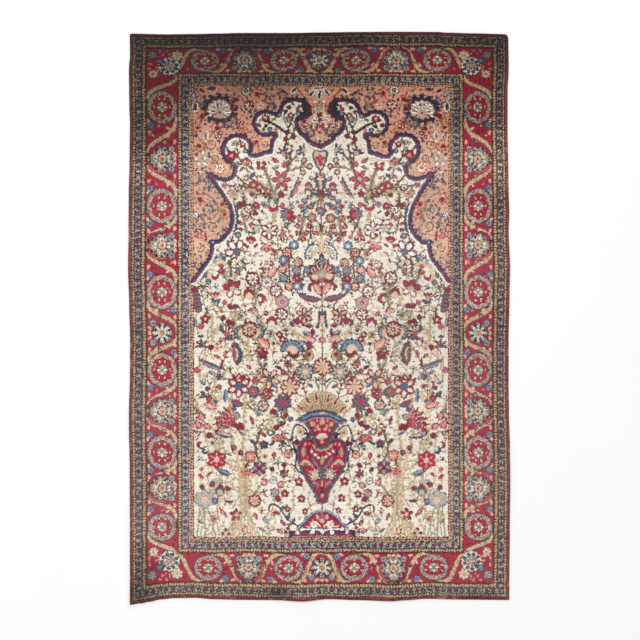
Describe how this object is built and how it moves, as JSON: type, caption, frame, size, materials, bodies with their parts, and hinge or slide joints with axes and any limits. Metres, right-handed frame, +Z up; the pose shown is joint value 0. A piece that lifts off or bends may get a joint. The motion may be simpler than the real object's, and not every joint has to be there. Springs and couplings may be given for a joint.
{
  "type": "prayer rug",
  "caption": "Flat hand-knotted silk prayer rug with a lobed niche, a vase of flowers, a red main border and overcast edges.",
  "frame": {"origin": "centre of the rug's bounding rectangle, on the floor that it lies on", "axes": "+X across the rug to the right, +Y along it from its foot to its head, where the niche points, and +Z up out of the pile"},
  "size_m": [1.3494, 2.0215, 0.0098],
  "materials": {
    "knotted_pile": "soft lustrous silk pile in ivory, crimson, apricot, blue and dark blue",
    "side_overcast": "worn crimson silk overcasting",
    "end_whipping": "dark red silk whipping over the end web"
  },
  "bodies": {
    "root": {"rug_body": "knotted_pile", "side_cord_left": "side_overcast", "side_cord_right": "side_overcast", "end_whip_foot": "end_whipping", "end_whip_head": "end_whipping"}
  },
  "joints": []
}
